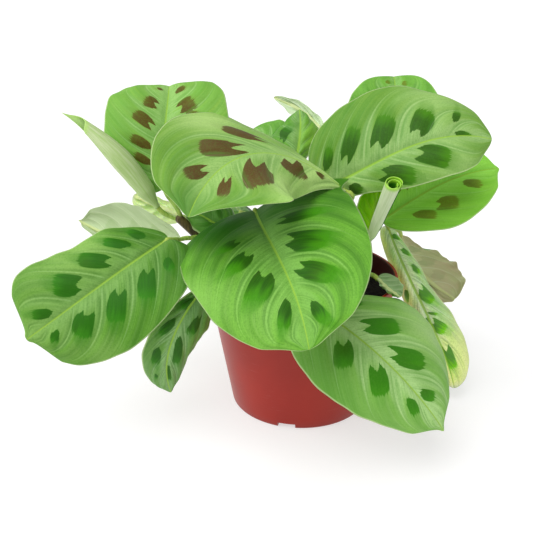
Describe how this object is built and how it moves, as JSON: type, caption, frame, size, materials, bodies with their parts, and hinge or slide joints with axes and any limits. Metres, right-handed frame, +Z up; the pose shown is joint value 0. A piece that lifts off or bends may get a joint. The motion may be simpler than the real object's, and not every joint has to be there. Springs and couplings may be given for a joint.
{
  "type": "potted prayer plant",
  "caption": "Potted prayer plant with broad oval leaves marked by dark rabbit-foot blotches, a rolled new leaf and a tapered terracotta-red nursery pot.",
  "frame": {"origin": "centre of the pot's flat base, on the surface that it stands on", "axes": "+Z up, +X to the viewer's right along the widest spread of the leaves, -Y towards the viewer of the picture"},
  "size_m": [0.2865, 0.2421, 0.1983],
  "materials": {
    "pot_plastic": "satin, terracotta red",
    "soil": "damp dark potting compost",
    "leaf": "satin, bright green with dark blotches",
    "leaf_pale": "satin, pale grey-green underside",
    "petiole": "satin, yellow-green",
    "stem": "satin, brown-green"
  },
  "bodies": {
    "root": {"pot": "pot_plastic", "soil": "soil", "stem_left": "stem", "stem_centre": "stem", "stem_shoot": "stem", "stem_front": "stem", "stem_back": "stem", "leaf_front_centre": "leaf", "leaf_left": "leaf", "leaf_top_centre": "leaf", "leaf_top_left": "leaf", "leaf_right_top": "leaf", "leaf_right_low": "leaf", "leaf_top_right_back": "leaf", "leaf_bottom_right": "leaf", "leaf_right_droop": "leaf", "leaf_right_under": "leaf", "leaf_lower_left": "leaf", "leaf_left_under": "leaf", "leaf_left_small": "leaf", "leaf_centre_back": "leaf", "leaf_centre_curl": "leaf", "leaf_centre_dark": "leaf", "leaf_inner_left": "leaf", "leaf_back_left": "leaf", "leaf_back_centre": "leaf", "leaf_back_right": "leaf", "leaf_rim_leaf": "leaf", "leaf_sheath": "petiole", "leaf_new_roll": "leaf_pale", "leaf_left_rolled": "leaf_pale", "petiole_front_centre": "petiole", "petiole_left": "petiole", "petiole_top_centre": "petiole", "petiole_top_left": "petiole", "petiole_right_top": "petiole", "petiole_right_low": "petiole", "petiole_top_right_back": "petiole", "petiole_bottom_right": "petiole", "petiole_right_droop": "petiole", "petiole_right_under": "petiole", "petiole_lower_left": "petiole", "petiole_left_under": "petiole", "petiole_left_small": "petiole", "petiole_centre_back": "petiole", "petiole_centre_curl": "petiole", "petiole_centre_dark": "petiole", "petiole_inner_left": "petiole", "petiole_back_left": "petiole", "petiole_back_centre": "petiole", "petiole_back_right": "petiole", "petiole_rim_leaf": "petiole", "petiole_sheath": "petiole", "petiole_left_rolled": "petiole"}
  },
  "joints": []
}
